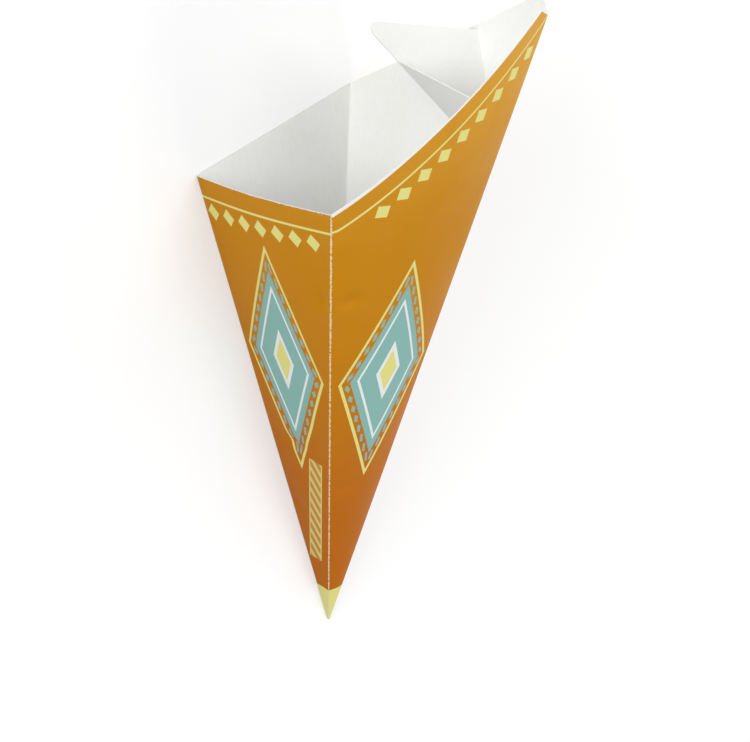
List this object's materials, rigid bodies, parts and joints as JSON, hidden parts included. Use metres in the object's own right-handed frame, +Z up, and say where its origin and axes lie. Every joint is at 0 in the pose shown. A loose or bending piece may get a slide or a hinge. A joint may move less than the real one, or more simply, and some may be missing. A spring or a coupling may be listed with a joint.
{
  "type": "paper fries cone",
  "caption": "Tapered food cone folded from printed board, with a tall peak at one corner of the mouth and a folded dip pocket under it.",
  "frame": {"origin": "middle of the outer face of the panel that the cone lies on", "axes": "+Z up from that panel, +Y along its middle line from the tip to the mouth, +X from its low fold to its back fold"},
  "size_m": [0.1073, 0.2761, 0.1157],
  "materials": {
    "printed_board": "coated print outside, white board inside"
  },
  "bodies": {
    "root": {"paper_cone": "printed_board"}
  },
  "joints": []
}
